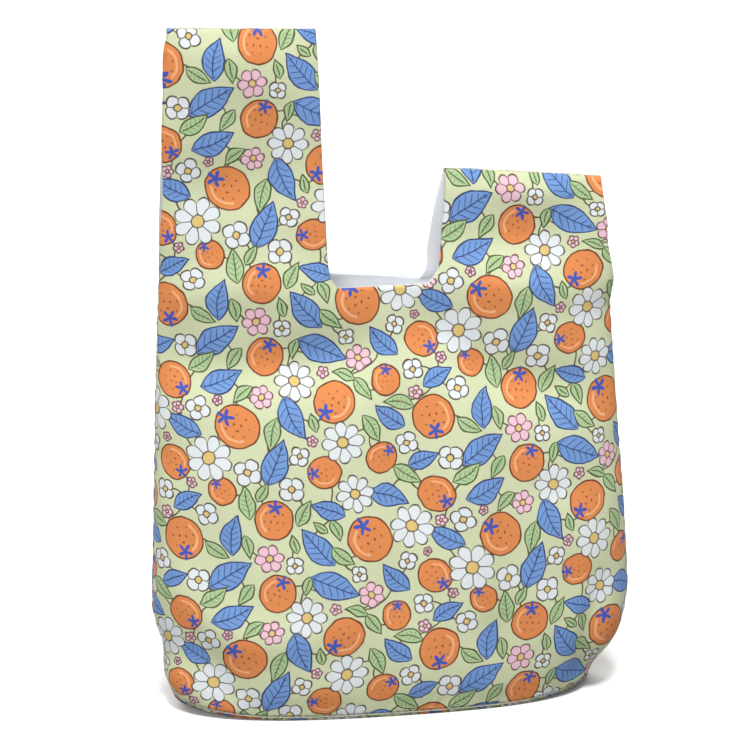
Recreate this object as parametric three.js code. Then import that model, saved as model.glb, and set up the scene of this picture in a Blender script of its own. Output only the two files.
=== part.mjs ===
// A knot bag standing on its oval base: a long handle loop on one side and a short one on the other,
// so that the long loop can be drawn through the short one and the bag hangs from the wrist.
// Millimetres, +Z up, the front towards -Y, the long handle towards -X, the table at Z = 0, and X = 0
// at the middle of the belly, where the bag is widest.
// Every wall is three cloths thick: a printed shell, an interlining that stiffens it, and a lining.
import * as THREE from "three";

// The three cloths, and the gap between pieces that lie against each other
const liningThickness = 0.6;
const interliningThickness = 1.0;
const shellThickness = 0.8;
const layGap = 0.3;
const stitchWidth = 0.8; // a sewn seam's visible thickness, between the two cloths it joins

// The body
const mouthHeight = 231;
const mouthHalfWidth = 120;
const mouthHalfDepth = 15;
const bellyHalfWidth = 129.5;
const bellyHalfDepth = 42;
const bellyHeight = 57;
const bellyShift = 3.4; // the soft body hangs this far to the right of its mouth and base
const baseHalfWidth = 114;
const baseHalfDepth = 37.5;
const ovalPower = 2.4; // 2 is an ellipse, more is boxier
const bellyTaperPower = 1.55; // how late the body narrows in depth towards its mouth
const baseFlatHalfWidth = 55; // the base lies flat out to here
const baseEndLift = 5.5; // and curls up this far at its two ends
const baseCurlHeight = 45; // the curl dies away this far up the wall
const backRimDip = 3; // the back of the mouth hangs this much lower
const backRimDipAt = 0.12; // where it hangs lowest, as a share of the way from the middle to the side
const backRimDipSpan = 0.75;

// The soft walls' main folds. Each runs through three places, given across as a share of the mouth's half
// width and up as a share of the rim's height. A depth below 0 is a hollow and above 0 a ridge.
const wallFolds = {
  front: [
    { depth: -4.2, spread: 12, path: [[-1.03, 0.887], [-0.43, 0.857], [0.12, 0.926]] },
    { depth: -4.2, spread: 10, path: [[0.15, 0.991], [0.38, 0.866], [0.97, 0.81]] },
    { depth: 3.2, spread: 9, path: [[0.22, 0.848], [0.29, 0.528], [0.34, 0.225]] },
    { depth: -2.4, spread: 11, path: [[0.02, 0.823], [0.04, 0.563], [0.08, 0.251]] },
  ],
  back: [
    { depth: -4, spread: 12, path: [[-1.03, 0.848], [-0.38, 0.892], [0.08, 0.935]] },
    { depth: -3.8, spread: 11, path: [[0.17, 0.978], [0.38, 0.866], [0.92, 0.805]] },
    { depth: 3, spread: 10, path: [[-0.25, 0.823], [-0.3, 0.563], [-0.25, 0.268]] },
    { depth: -2.6, spread: 12, path: [[0.25, 0.797], [0.18, 0.519], [0.23, 0.216]] },
  ],
};
const foldEndShare = 0.35; // of its depth that a fold keeps at its two ends
const foldFade = 14; // a fold dies away over this far from the base and from a side seam
const foldRimFade = 20; // and over this far below the rim

// The mouth's two corners, where the handles' inner edges come down to the rim
const cornerFlare = 4; // an inner edge turns out to the rim by this much
const cornerHeight = 9; // over this height

// The handles. The outer edge is the one over the side seam, the inner edge the one over the mouth.
const longHandle = {
  name: "long_handle",
  side: -1,
  width: 88,
  outerLean: 6.5, // each edge leans in this far by the top
  innerLean: 4.5,
  outerRise: 139, // each edge's height above the rim
  innerRise: 136,
  seamEnd: 13, // the side seam under the handle ends this far above the rim
  outerOpening: 7, // past it the two strips stand this far off the middle, halfway up
  rows: 6,
};
const shortHandle = {
  name: "short_handle",
  side: 1,
  width: 95,
  outerLean: 5,
  innerLean: 6,
  outerRise: 51.5,
  innerRise: 59.5,
  seamEnd: -18,
  outerOpening: 7,
  rows: 4,
};
const loopClosingPower = 1.7; // how late the loop's two strips come together
const turnHeight = 30; // over this height the strips turn from the oval's curve to face front and back
const foldAboveRim = 18; // each handle folds about a line this far above the rim
const bendHeight = 26; // the cloth that takes the bend, up from the rim

// How finely the cloths are divided
const wallRows = 16;
const rowCloseness = 0.45; // how much closer a wall's rows lie at its base and its rim
const broadShare = 0.85; // of the mouth's half width, over which a wall's columns lie evenly
const broadColumns = 20;
const endColumns = 3; // round each side beyond that
const handleColumns = 6;
const bendRows = 3;
const overTopRows = 2;
const foldPlaces = 24; // tried along a fold's path

const shellColour = new THREE.Color(0.72, 0.74, 0.5);
const liningColour = new THREE.Color(0.86, 0.88, 0.9);
const interliningColour = new THREE.Color(0.93, 0.92, 0.88);
const threadColour = new THREE.Color(0.8, 0.79, 0.6);

// A cloth lies between two distances, inner and outer, out from the lining's inside face. edgeGap is
// how far its edge stays from the seam plane between the front and the back.
const lining = {
  name: "lining",
  inner: 0,
  outer: liningThickness,
  edgeGap: layGap / 2,
  colour: liningColour,
};
const interlining = {
  name: "interlining",
  inner: lining.outer + layGap,
  outer: lining.outer + layGap + interliningThickness,
  edgeGap: layGap / 2,
  colour: interliningColour,
};
const shell = {
  name: "shell",
  inner: interlining.outer + layGap,
  outer: interlining.outer + layGap + shellThickness,
  edgeGap: stitchWidth / 2 + layGap,
  colour: shellColour,
};
const cloths = [shell, interlining, lining];
const wallThickness = shell.outer;
const sides = [
  { name: "front", y: -1 },
  { name: "back", y: 1 },
];

// The three base cloths, stacked up from the table
const baseLayers = [
  { name: "shell_base", bottom: 0, thickness: shellThickness, cloth: shell },
  {
    name: "interlining_base",
    bottom: shellThickness + layGap,
    thickness: interliningThickness,
    cloth: interlining,
  },
  {
    name: "lining_base",
    bottom: shellThickness + interliningThickness + 2 * layGap,
    thickness: liningThickness,
    cloth: lining,
  },
];
const baseSeamBottom = shellThickness + layGap;
const wallBottom = {
  shell: baseSeamBottom + stitchWidth + layGap,
  interlining: baseLayers[1].bottom + interliningThickness + layGap,
  lining: baseLayers[2].bottom + liningThickness + layGap,
};

const mix = (a, b, share) => a + (b - a) * share;
const clamp01 = (value) => Math.min(1, Math.max(0, value));
const smooth = (value) => clamp01(value) ** 2 * (3 - 2 * clamp01(value));

// The oval at t, from -1 at the left seam to 1 at the right: across and out, each up to 1.
function oval(t) {
  const angle = (t * Math.PI) / 2;
  const across = Math.sign(t) * Math.abs(Math.sin(angle)) ** (2 / ovalPower);
  const out = Math.max(0, Math.cos(angle)) ** (2 / ovalPower);
  return { across, out: Math.abs(t) === 1 ? 0 : out };
}

// The t at which the mouth's oval crosses x.
function ovalAt(x) {
  const share = Math.abs(x / mouthHalfWidth) ** (ovalPower / 2);
  return (Math.sign(x) * Math.asin(share) * 2) / Math.PI;
}

function halfWidthAt(height) {
  if (height < bellyHeight)
    return mix(bellyHalfWidth, baseHalfWidth, (1 - height / bellyHeight) ** 2);
  return mix(
    bellyHalfWidth,
    mouthHalfWidth,
    (height - bellyHeight) / (mouthHeight - bellyHeight),
  );
}

function halfDepthAt(height) {
  if (height < bellyHeight)
    return mix(bellyHalfDepth, baseHalfDepth, (1 - height / bellyHeight) ** 2);
  const rise = (height - bellyHeight) / (mouthHeight - bellyHeight);
  return mix(bellyHalfDepth, mouthHalfDepth, rise ** bellyTaperPower);
}

// How far the body's middle lies to the right; the mouth and the base stay on the centre line.
function middleAt(height) {
  const above = (height - bellyHeight) / (mouthHeight - bellyHeight);
  return bellyShift * (1 - smooth(Math.max(above, 1 - height / bellyHeight)));
}

// The height of a point near the base once the base's ends have curled up.
function curled(x, height) {
  const past =
    Math.max(0, Math.abs(x) - baseFlatHalfWidth) /
    (baseHalfWidth - baseFlatHalfWidth);
  const fade = clamp01(1 - height / baseCurlHeight);
  return height + baseEndLift * past ** 2 * fade ** 2;
}

// The height of the mouth's rim, and of the line that the handles rise from.
function rimAt(side, t) {
  if (side.y < 0) return mouthHeight;
  const away = clamp01(Math.abs(t - backRimDipAt) / backRimDipSpan);
  return mouthHeight - backRimDip * Math.cos((away * Math.PI) / 2) ** 2;
}

// The handle on the same side of the bag as t.
const handleAt = (t) => (t < 0 ? longHandle : shortHandle);

// The x of the mouth's corner under a handle.
const cornerX = (handle) =>
  handle.side * (mouthHalfWidth - handle.width - cornerFlare);

// The height of the line round which a handle's strips turn over at the top.
function turnLine(handle, share) {
  const top = mouthHeight + mix(handle.outerRise, handle.innerRise, share);
  return top - shell.outer - shell.edgeGap;
}

// How far the front and the back have parted above the end of the side seam.
function parting(handle, height) {
  const seamTop = mouthHeight + handle.seamEnd;
  const up = clamp01((height - seamTop) / (turnLine(handle, 0) - seamTop));
  return handle.outerOpening * Math.sin(up * Math.PI);
}

// A place on a fold's path, a share of the way along it.
function alongFold(path, share) {
  const weights = [(1 - share) * (1 - 2 * share), 4 * share * (1 - share), share * (2 * share - 1)];
  const at = (axis) => weights.reduce((sum, weight, i) => sum + weight * path[i][axis], 0);
  return [at(0) * mouthHalfWidth, at(1) * mouthHeight];
}

// How far the folds push a wall out at t and a height.
function foldAt(side, t, height) {
  const at = oval(t);
  const halfWidth = halfWidthAt(height);
  const x = middleAt(height) + halfWidth * at.across;
  let push = 0;
  for (const { depth, spread, path } of wallFolds[side.name]) {
    let nearest = Infinity;
    let share = 0;
    for (let i = 0; i <= foldPlaces; i++) {
      const [placeX, placeHeight] = alongFold(path, i / foldPlaces);
      const gap = Math.hypot(x - placeX, height - placeHeight);
      if (gap < nearest) [nearest, share] = [gap, i / foldPlaces];
    }
    push += depth * mix(foldEndShare, 1, Math.sin(share * Math.PI)) * Math.exp(-((nearest / spread) ** 2));
  }
  const fromSeam = Math.hypot(halfWidth * (1 - Math.abs(at.across)), halfDepthAt(height) * at.out);
  const fade = smooth(fromSeam / foldFade) * smooth(height / foldFade);
  return push * fade * smooth((mouthHeight - height) / foldRimFade);
}

function wallPoint(side, t, height, out, edgeGap) {
  const inset = wallThickness - out;
  const at = oval(t);
  const x = middleAt(height) + (halfWidthAt(height) - inset) * at.across;
  const space =
    (halfDepthAt(height) - inset - edgeGap) * at.out +
    parting(handleAt(t), height) * (1 - at.out);
  return [x, side.y * (edgeGap + space), curled(x, height)];
}

// How far t lies from a handle's outer edge, as a share of the way to the mouth's corner.
const handleShare = (handle, t) =>
  (mouthHalfWidth * (1 - Math.abs(oval(t).across))) /
  (handle.width + cornerFlare);

// A point of a handle at t across the mouth's oval, rise above the rim, and out from the lining's face.
function stripPoint(handle, side, t, rise, out, edgeGap) {
  const at = oval(t);
  const share = handleShare(handle, t);
  const rim = rimAt(side, t);
  const up = clamp01(rise / (turnLine(handle, share) - rim));
  const flare = cornerFlare * clamp01(1 - rise / cornerHeight) ** 2;
  const outerX = mouthHalfWidth - handle.outerLean * up;
  const innerX = mouthHalfWidth - handle.width + handle.innerLean * up - flare;
  const turn = smooth(rise / turnHeight);
  const space =
    (mouthHalfDepth - wallThickness - edgeGap) *
      at.out *
      (1 - up ** loopClosingPower) +
    parting(handle, rim + rise) * (1 - at.out);
  const x =
    handle.side * mix(outerX, innerX, share) -
    (wallThickness - out) * mix(at.across, 0, turn);
  const y = side.y * (edgeGap + space + out * mix(at.out, 1, turn));
  return [x, y, rim + rise];
}

// The x of a handle's top edge.
const topX = (handle, share) =>
  handle.side *
  mix(
    mouthHalfWidth - handle.outerLean,
    mouthHalfWidth - handle.width + handle.innerLean,
    share,
  );

// A point of the strip where it turns over the top of the loop, at an angle from upright.
function overTopPoint(handle, side, t, angle, out, edgeGap) {
  const share = handleShare(handle, t);
  const y = side.y * (edgeGap + out * Math.cos(angle));
  const z = turnLine(handle, share) + (edgeGap + out) * Math.sin(angle);
  return [topX(handle, share), y, z];
}

// Turns the faces of a closed geometry outwards if its volume comes out negative.
function facingOut(geometry) {
  const at = geometry.getAttribute("position");
  const index = geometry.index.array;
  const [a, b, c] = [0, 1, 2].map(() => new THREE.Vector3());
  let volume = 0;
  for (let i = 0; i < index.length; i += 3) {
    a.fromBufferAttribute(at, index[i]);
    b.fromBufferAttribute(at, index[i + 1]);
    c.fromBufferAttribute(at, index[i + 2]);
    volume += a.dot(b.cross(c));
  }
  if (volume < 0)
    for (let i = 0; i < index.length; i += 3)
      [index[i + 1], index[i + 2]] = [index[i + 2], index[i + 1]];
  geometry.computeVertexNormals();
  return geometry;
}

// A closed solid between two grids of points: point(row, column, face), where face 0 is the inside of
// the cloth and face 1 the outside. A ring's last column joins its first.
function sheetSolid(rows, columns, point, ring = false) {
  const positions = [];
  const index = [];
  const across = ring ? columns : columns + 1;
  for (const face of [0, 1])
    for (let row = 0; row <= rows; row++)
      for (let column = 0; column < across; column++)
        positions.push(...point(row, column, face));
  const at = (row, column, face) =>
    (face * (rows + 1) + row) * across + (column % across);
  const quad = (a, b, c, d) => index.push(a, b, c, a, c, d);
  for (let row = 0; row < rows; row++)
    for (let column = 0; column < columns; column++) {
      const corners = [
        [row, column],
        [row, column + 1],
        [row + 1, column + 1],
        [row + 1, column],
      ];
      const [a, b, c, d] = corners.map(([r, k]) => at(r, k, 1));
      const [e, f, g, h] = corners.map(([r, k]) => at(r, k, 0));
      quad(a, b, c, d);
      index.push(e, g, f, e, h, g);
    }
  for (let column = 0; column < columns; column++) {
    quad(at(0, column, 0), at(0, column + 1, 0), at(0, column + 1, 1), at(0, column, 1));
    quad(at(rows, column, 1), at(rows, column + 1, 1), at(rows, column + 1, 0), at(rows, column, 0));
  }
  if (!ring)
    for (let row = 0; row < rows; row++) {
      quad(at(row, 0, 0), at(row, 0, 1), at(row + 1, 0, 1), at(row + 1, 0, 0));
      quad(at(row, columns, 1), at(row, columns, 0), at(row + 1, columns, 0), at(row + 1, columns, 1));
    }
  const geometry = new THREE.BufferGeometry();
  geometry.setAttribute("position", new THREE.Float32BufferAttribute(positions, 3));
  geometry.setIndex(index);
  return facingOut(geometry);
}

function clothMesh(name, geometry, colour) {
  const material = new THREE.MeshStandardMaterial({
    color: colour,
    roughness: 0.9,
    metalness: 0,
  });
  const mesh = new THREE.Mesh(geometry, material);
  mesh.name = name;
  return mesh;
}

// Steps of t over a handle, from the side seam to the mouth's corner.
function handleSteps(handle) {
  const corner = ovalAt(cornerX(handle));
  return Array.from({ length: handleColumns + 1 }, (_, i) =>
    mix(handle.side, corner, i / handleColumns),
  );
}

// Steps of t across a wall, from the left seam to the right one.
const broadEnd = ovalAt(broadShare * mouthHalfWidth);
const broadSteps = Array.from({ length: broadColumns + 1 }, (_, i) =>
  ovalAt(mix(-1, 1, i / broadColumns) * broadShare * mouthHalfWidth),
);
const endSteps = Array.from({ length: endColumns }, (_, i) => mix(broadEnd, 1, (i + 1) / endColumns));
const wallSteps = [...endSteps.map((t) => -t).reverse(), ...broadSteps, ...endSteps];

// The share of the way up a wall at a row.
const rowShare = (row) =>
  row / wallRows - (rowCloseness * Math.sin((2 * Math.PI * row) / wallRows)) / (2 * Math.PI);

// The body's part of a front or back cloth, from the base seam to the rim. Its three cloths fold as one.
function wallCloth(cloth, side) {
  const bottom = wallBottom[cloth.name];
  const point = (row, column, face) => {
    const t = wallSteps[column];
    const heightAbove = (low) => mix(low, rimAt(side, t), rowShare(row));
    const out = face ? cloth.outer : cloth.inner;
    const [x, y, z] = wallPoint(side, t, heightAbove(bottom), out, cloth.edgeGap);
    return [x, y + side.y * foldAt(side, t, heightAbove(wallBottom.shell)), z];
  };
  const geometry = sheetSolid(wallRows, wallSteps.length - 1, point);
  return clothMesh(`${cloth.name}_${side.name}`, geometry, cloth.colour);
}

// One cloth of the base: an oval plate cut across into strips at the wall's columns.
function baseCloth(layer) {
  const inset = wallThickness - layer.cloth.outer;
  const point = (row, column, face) => {
    const at = oval(wallSteps[column]);
    const x = (baseHalfWidth - inset) * at.across;
    const halfDepth = Math.max(stitchWidth / 2, (baseHalfDepth - inset) * at.out);
    const height = layer.bottom + (face ? layer.thickness : 0);
    return [x, mix(-halfDepth, halfDepth, row), curled(x, height)];
  };
  const geometry = sheetSolid(1, wallSteps.length - 1, point);
  return clothMesh(layer.name, geometry, layer.cloth.colour);
}

// The ring of stitching that joins the walls to the base.
function baseSeam() {
  const count = wallSteps.length - 1;
  const point = (row, column, face) => {
    const side = sides[column < count ? 0 : 1];
    const t = wallSteps[column < count ? column : 2 * count - column];
    const height = baseSeamBottom + row * stitchWidth;
    return wallPoint(side, t, height, face ? shell.outer : shell.inner, 0);
  };
  return clothMesh("base_seam", sheetSolid(1, 2 * count, point, true), threadColour);
}

// The stitching up one side of the shell, where its front and back meet. It turns at the wall's rows.
function sideSeam(name, handle) {
  const top = mouthHeight + handle.seamEnd;
  const heights = Array.from({ length: wallRows + 1 }, (_, row) =>
    mix(wallBottom.shell, mouthHeight, rowShare(row)),
  ).filter((height) => height < top);
  heights.push(top);
  const point = (row, column, face) => {
    const out = face ? shell.outer : shell.inner;
    const [x, , z] = wallPoint(sides[0], handle.side, heights[row], out, 0);
    return [x, (column - 0.5) * stitchWidth, z];
  };
  return clothMesh(name, sheetSolid(heights.length - 1, 1, point), threadColour);
}

// The bending cloth of a handle strip, from the rim up to where the strip is stiff.
function bendCloth(handle, cloth, side) {
  const steps = handleSteps(handle);
  const point = (row, column, face) =>
    stripPoint(
      handle,
      side,
      steps[column],
      mix(layGap, bendHeight - layGap, (row / bendRows) ** 1.5),
      face ? cloth.outer : cloth.inner,
      cloth.edgeGap,
    );
  const name = `${handle.name}_${cloth.name}_${side.name}_bend`;
  return clothMesh(name, sheetSolid(bendRows, handleColumns, point), cloth.colour);
}

// The rest of a handle strip, up and over to the seam at the top of the loop, measured from its fold line.
function stripCloth(handle, cloth, side) {
  const steps = handleSteps(handle);
  const fold = mouthHeight + foldAboveRim;
  const point = (row, column, face) => {
    const t = steps[column];
    const out = face ? cloth.outer : cloth.inner;
    if (row > handle.rows) {
      const angle = (((row - handle.rows) / overTopRows) * Math.PI) / 2;
      const [x, y, z] = overTopPoint(handle, side, t, angle, out, cloth.edgeGap);
      return [x, y, z - fold];
    }
    const straight = turnLine(handle, handleShare(handle, t)) - rimAt(side, t);
    const rise = mix(bendHeight, straight, row / handle.rows);
    const [x, y, z] = stripPoint(handle, side, t, rise, out, cloth.edgeGap);
    return [x, y, z - fold];
  };
  const geometry = sheetSolid(handle.rows + overTopRows, handleColumns, point);
  return clothMesh(`${handle.name}_${cloth.name}_${side.name}`, geometry, cloth.colour);
}

// The stitching along the top of a loop, where the shell's front and back strips meet.
function topSeam(handle) {
  const fold = mouthHeight + foldAboveRim;
  const point = (row, column, face) => {
    const share = column / handleColumns;
    const out = (face ? shell.outer : shell.inner) + shell.edgeGap;
    return [topX(handle, share), (row - 0.5) * stitchWidth, turnLine(handle, share) + out - fold];
  };
  return clothMesh(`${handle.name}_top_seam`, sheetSolid(1, handleColumns, point), threadColour);
}

// A handle loop, hung in its own group at its fold line.
function handleLoop(handle) {
  const loop = new THREE.Group();
  loop.position.set(0, 0, mouthHeight + foldAboveRim);
  for (const cloth of cloths)
    for (const side of sides) loop.add(stripCloth(handle, cloth, side));
  loop.add(topSeam(handle));
  return loop;
}

const bag = new THREE.Group();
bag.position.x = -bellyShift; // the frame's Z axis runs up through the middle of the belly
for (const cloth of cloths)
  for (const side of sides) {
    bag.add(wallCloth(cloth, side));
    for (const handle of [longHandle, shortHandle])
      bag.add(bendCloth(handle, cloth, side));
  }
for (const layer of baseLayers) bag.add(baseCloth(layer));
bag.add(baseSeam());
bag.add(sideSeam("side_seam_left", longHandle), sideSeam("side_seam_right", shortHandle));
bag.add(handleLoop(longHandle), handleLoop(shortHandle));

export default bag;
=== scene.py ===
from functools import partial
from math import cos, pi, radians, sin, tau

import bpy
import numpy as np
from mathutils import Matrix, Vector


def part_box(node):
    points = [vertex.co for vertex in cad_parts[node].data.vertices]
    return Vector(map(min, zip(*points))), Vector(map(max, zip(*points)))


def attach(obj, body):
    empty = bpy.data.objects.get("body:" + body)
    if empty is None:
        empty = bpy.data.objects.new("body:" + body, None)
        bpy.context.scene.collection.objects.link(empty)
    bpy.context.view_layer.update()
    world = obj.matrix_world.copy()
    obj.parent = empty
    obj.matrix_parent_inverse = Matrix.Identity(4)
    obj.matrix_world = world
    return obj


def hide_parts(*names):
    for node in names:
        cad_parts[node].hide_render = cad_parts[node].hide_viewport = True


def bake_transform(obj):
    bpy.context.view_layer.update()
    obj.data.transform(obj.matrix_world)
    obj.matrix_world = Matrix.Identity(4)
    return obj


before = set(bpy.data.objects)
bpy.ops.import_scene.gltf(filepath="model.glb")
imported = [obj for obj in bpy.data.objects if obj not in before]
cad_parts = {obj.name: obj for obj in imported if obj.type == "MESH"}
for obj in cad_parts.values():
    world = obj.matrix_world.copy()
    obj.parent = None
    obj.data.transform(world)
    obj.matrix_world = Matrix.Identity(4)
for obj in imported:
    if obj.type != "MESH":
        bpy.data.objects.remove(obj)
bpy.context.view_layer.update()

metresPerMm = 0.001
farAway = 1e3  # in millimetres, further than any edge or seam
nearZero = 1e-12  # keeps a length from being divided by zero

# The bag's form in millimetres, as its walls stand in the frame. Its own middle lies bellyShift to the left
# of the frame's, so every point is moved by that when a mesh is made.
bagForm = {
    "mouthHeight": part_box("shell_front")[1].z / metresPerMm,
    "mouthHalfWidth": 120,
    "mouthHalfDepth": 15,
    "bellyHeight": 57,
    "bellyHalfWidth": 129.5,
    "bellyHalfDepth": 42,
    "bellyShift": 3.4,
    "baseHalfWidth": 114,
    "baseHalfDepth": 37.5,
    "baseFlatHalfWidth": 55,
    "baseEndLift": 5.5,
    "baseCurlHeight": 45,
    "ovalPower": 2.4,  # 2 is an ellipse, more is boxier
    "taperPower": 1.55,  # how late the body narrows towards its mouth
    "cornerFlare": 4,
    "cornerHeight": 9,
    "turnHeight": 30,  # over this height a handle's strips turn to face front and back
    "rimSlope": 0.24,  # the wall leans in this much at the rim, and the strips take it up
    "rimEasing": 14,  # over this height the lean in dies away
    "splayStart": 16,  # over this height a handle's edges move out by its splay, given for front and back
    "wallThickness": 3.0,
    "seamGap": 0.12,  # from a cloth's edge to the seam plane
    "backRimLeft": 1.6,  # the back of the mouth stands this far above the front at its left corner
    "backRimRight": -2.6,
    "leftTuck": 4.5,  # the lower left corner is pushed in this far
    "leftTuckHeight": 33,
    "rightTuck": 4.0,
    "rightTuckHeight": 8,
    "tuckSpread": 15,
    "tuckFrom": 0.3,  # where round the wall the tucks begin, from 0 at the middle to 1 at the seam
    "tuckTo": 0.8,
}

longHandle = {
    "name": "longHandle", "node": "long_handle", "side": -1, "width": 88, "outerLean": 6.5, "innerLean": 4.5,
    "outerRise": 139, "innerRise": 136, "seamEnd": 13, "opening": 2.2,
    "outerSplay": (0.8, 0), "innerSplay": (0, 0),
}
shortHandle = {
    "name": "shortHandle", "node": "short_handle", "side": 1, "width": 95, "outerLean": 5, "innerLean": 6,
    "outerRise": 51.5, "innerRise": 59.5, "seamEnd": -18, "opening": 7,
    "outerSplay": (0, 0), "innerSplay": (0.9, -2.4),
}
handles = (longHandle, shortHandle)
handleNamed = {handle["name"]: handle for handle in handles}
front = {"name": "Front", "node": "front", "y": -1, "half": 0}
back = {"name": "Back", "node": "back", "y": 1, "half": 1}
sides = (front, back)

# How the meshes are divided, in millimetres
clothMesh = {
    "step": 3.4,
    "edgeSteps": (0, 0.12, 0.35, 0.75, 1.3, 2.2, 3.4),  # closer lines beside a turned edge
    "seamSteps": (0, 0.6, 1.3, 2.1, 3.2, 4.8, 6.6, 8.8, 11.4, 14.2, 17.2),  # beside a side seam, at the belly
    "overTopLines": 6,
    "baseLines": 34,
}


def mix(a, b, share):
    return a + (b - a) * share


def clamp01(value):
    return np.clip(value, 0, 1)


def smooth(value):
    value = clamp01(value)
    return value * value * (3 - 2 * value)


def oval(t):  # across and out of the oval at t, from -1 at the left seam to 1 at the right
    power = 2 / bagForm["ovalPower"]
    across = np.sign(t) * np.abs(np.sin(t * pi / 2)) ** power
    out = np.where(np.abs(t) == 1, 0, np.clip(np.cos(t * pi / 2), 0, None) ** power)
    return across, out


def ovalAt(x):  # the t where the mouth's oval crosses x
    share = np.abs(x / bagForm["mouthHalfWidth"]) ** (bagForm["ovalPower"] / 2)
    return np.sign(x) * np.arcsin(share) * 2 / pi


def halfWidthAt(height, t):
    form = bagForm
    below = mix(form["bellyHalfWidth"], form["baseHalfWidth"], (1 - height / form["bellyHeight"]) ** 2)
    rise = (height - form["bellyHeight"]) / (form["mouthHeight"] - form["bellyHeight"])
    above = mix(form["bellyHalfWidth"], form["mouthHalfWidth"], rise)
    left = form["leftTuck"] * np.exp(-((height - form["leftTuckHeight"]) / form["tuckSpread"]) ** 2)
    right = form["rightTuck"] * np.exp(-((height - form["rightTuckHeight"]) / form["tuckSpread"]) ** 2)
    sideways = (np.abs(t) - form["tuckFrom"]) / (form["tuckTo"] - form["tuckFrom"])
    tuck = np.where(t < 0, left, right) * smooth(sideways)
    return np.where(height < form["bellyHeight"], below, above) - tuck


def halfDepthAt(height):
    form = bagForm
    below = mix(form["bellyHalfDepth"], form["baseHalfDepth"], (1 - height / form["bellyHeight"]) ** 2)
    rise = clamp01((height - form["bellyHeight"]) / (form["mouthHeight"] - form["bellyHeight"]))
    above = mix(form["bellyHalfDepth"], form["mouthHalfDepth"], rise ** form["taperPower"])
    return np.where(height < form["bellyHeight"], below, above)


def middleAt(height):  # the walls' middle stands bellyShift to the right at the belly
    above = (height - bagForm["bellyHeight"]) / (bagForm["mouthHeight"] - bagForm["bellyHeight"])
    return bagForm["bellyShift"] * (1 - smooth(np.maximum(above, 1 - height / bagForm["bellyHeight"])))


def curled(x, height):  # the base's ends curl up, and the curl dies away up the wall
    flat = bagForm["baseFlatHalfWidth"]
    past = np.maximum(0, np.abs(x) - flat) / (bagForm["baseHalfWidth"] - flat)
    return height + bagForm["baseEndLift"] * past ** 2 * clamp01(1 - height / bagForm["baseCurlHeight"]) ** 2


def cornerX(handle):  # where a handle's inner edge meets the rim
    return handle["side"] * (bagForm["mouthHalfWidth"] - handle["width"] - bagForm["cornerFlare"])


def rimAt(side, t):  # the height of the rim, which isn't level on the back
    level = bagForm["mouthHeight"] + np.zeros_like(t)
    if side["y"] < 0:
        return level
    x = bagForm["mouthHalfWidth"] * oval(t)[0]
    share = (x - cornerX(longHandle)) / (cornerX(shortHandle) - cornerX(longHandle))
    atCorner = mix(bagForm["backRimLeft"], bagForm["backRimRight"], clamp01(share))
    return level + atCorner * np.cos(clamp01(np.abs(t)) * pi / 2)


def turnLine(handle, share):  # the line round which a handle's strips turn over at the top
    top = bagForm["mouthHeight"] + mix(handle["outerRise"], handle["innerRise"], share)
    return top - bagForm["wallThickness"] - bagForm["seamGap"]


def parting(handle, height):  # how far front and back have parted above the end of the side seam
    seamTop = bagForm["mouthHeight"] + handle["seamEnd"]
    up = clamp01((height - seamTop) / (turnLine(handle, 0) - seamTop))
    return handle["opening"] * np.sin(up * pi)


def wallPoints(side, t, height, out):  # out is measured from the lining's inside face
    across, away = oval(t)
    inset = bagForm["wallThickness"] - out
    opened = np.where(t < 0, parting(longHandle, height), parting(shortHandle, height))
    x = middleAt(height) + (halfWidthAt(height, t) - inset) * across
    space = (halfDepthAt(height) - inset - bagForm["seamGap"]) * away + opened * (1 - away)
    return np.stack([x, side["y"] * (bagForm["seamGap"] + space), curled(x, height)], axis=-1)


def handleShare(handle, t):  # how far t lies from a handle's outer edge towards the mouth's corner
    return bagForm["mouthHalfWidth"] * (1 - np.abs(oval(t)[0])) / (handle["width"] + bagForm["cornerFlare"])


def stripPoints(handle, side, t, climb, out):  # climb runs to 1 at the turn line, and on to 2 over the top
    form = bagForm
    across, away = oval(t)
    share, rim = handleShare(handle, t), rimAt(side, t)
    straight = turnLine(handle, share) - rim
    up = clamp01(climb)
    rise = up * straight
    flare = form["cornerFlare"] * clamp01(1 - rise / form["cornerHeight"]) ** 2
    outerX = form["mouthHalfWidth"] - handle["outerLean"] * up
    innerX = form["mouthHalfWidth"] - handle["width"] + handle["innerLean"] * up - flare
    outerSplay, innerSplay = handle["outerSplay"][side["half"]], handle["innerSplay"][side["half"]]
    outerX = outerX + outerSplay * smooth((rise - handle["seamEnd"]) / form["splayStart"]) * (1 - up ** 2)
    innerX = innerX + innerSplay * smooth(rise / form["splayStart"]) * (1 - up ** 4)
    turn = smooth(rise / form["turnHeight"])
    space = (form["mouthHalfDepth"] - form["wallThickness"] - form["seamGap"]) * away
    extraSlope = form["rimSlope"] * away - space / straight
    space = space * (1 - up) + parting(handle, rim + rise) * (1 - away)
    space = space - extraSlope * rise * np.exp(-rise / form["rimEasing"])
    angle = np.maximum(climb - 1, 0) * pi / 2
    x = handle["side"] * mix(outerX, innerX, share) - (form["wallThickness"] - out) * mix(across, 0, turn)
    y = form["seamGap"] + space + out * mix(away, 1, turn) * np.cos(angle)
    z = rim + rise + (form["seamGap"] + out) * np.sin(angle)
    return np.stack([x + 0 * z, side["y"] * y, z], axis=-1)


# Places from start to end a mesh step apart, with the closer lines of a turned edge at the ends asked for
def linesBetween(start, end, edgeAtStart=False, edgeAtEnd=False, step=clothMesh["step"]):
    length, edge = abs(end - start), np.array(clothMesh["edgeSteps"])
    low = edge if edgeAtStart else np.array([0.0])
    high = length - edge[::-1] if edgeAtEnd else np.array([length])
    count = max(1, round((high[0] - low[-1]) / step))
    inner = np.linspace(low[-1], high[0], count + 1)[1:-1]
    return start + np.sign(end - start) * np.concatenate([low, inner, high])


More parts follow.
